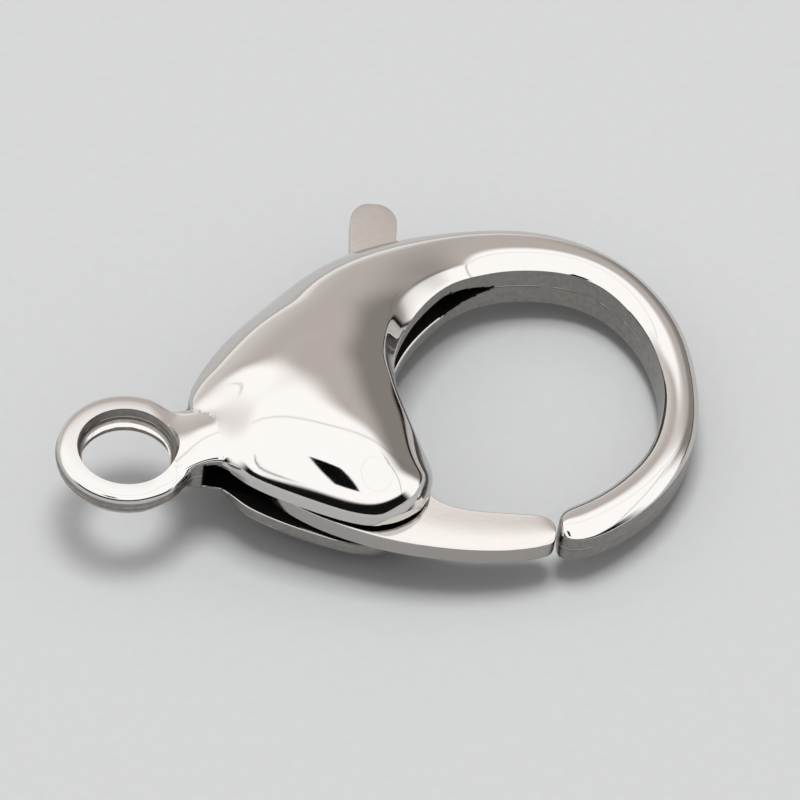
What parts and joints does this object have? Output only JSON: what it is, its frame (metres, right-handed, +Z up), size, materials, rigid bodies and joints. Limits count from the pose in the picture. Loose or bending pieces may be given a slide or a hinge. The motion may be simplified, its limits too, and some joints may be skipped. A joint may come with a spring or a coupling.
{
  "type": "lobster clasp",
  "caption": "Lobster clasp lying flat: domed cast body that tapers into a round hook, flat sprung lever with a thumb tab closing the hook, flush rivet and an end ring.",
  "frame": {"origin": "on the table under the middle of the clasp as it lies: middle of the bounding box in X and Y, its bottom in Z", "axes": "+X from the end ring to the hook, +Y towards the thumb tab, +Z up from the table. The clasp's own plane leans 6 degrees about Y, hook end down."},
  "size_m": [0.0326, 0.0234, 0.0079],
  "materials": {
    "polished_steel": "mirror-polished stainless steel, unplated",
    "satin_steel": "tumbled satin stainless steel with a brighter edge"
  },
  "bodies": {
    "clasp": {"body": "polished_steel", "rivet": "polished_steel"},
    "lever": {"lever": "satin_steel"}
  },
  "joints": [
    {"name": "lever_hinge", "type": "hinge", "parent": "clasp", "child": "lever", "pos_m": [-0.00045, -0.00918, 0.00363], "axis": [0.1045, 0, 0.9945], "range_deg": [0, 22], "stiffness_Nm_per_rad": 0.0025, "springref_deg": -22.92}
  ]
}
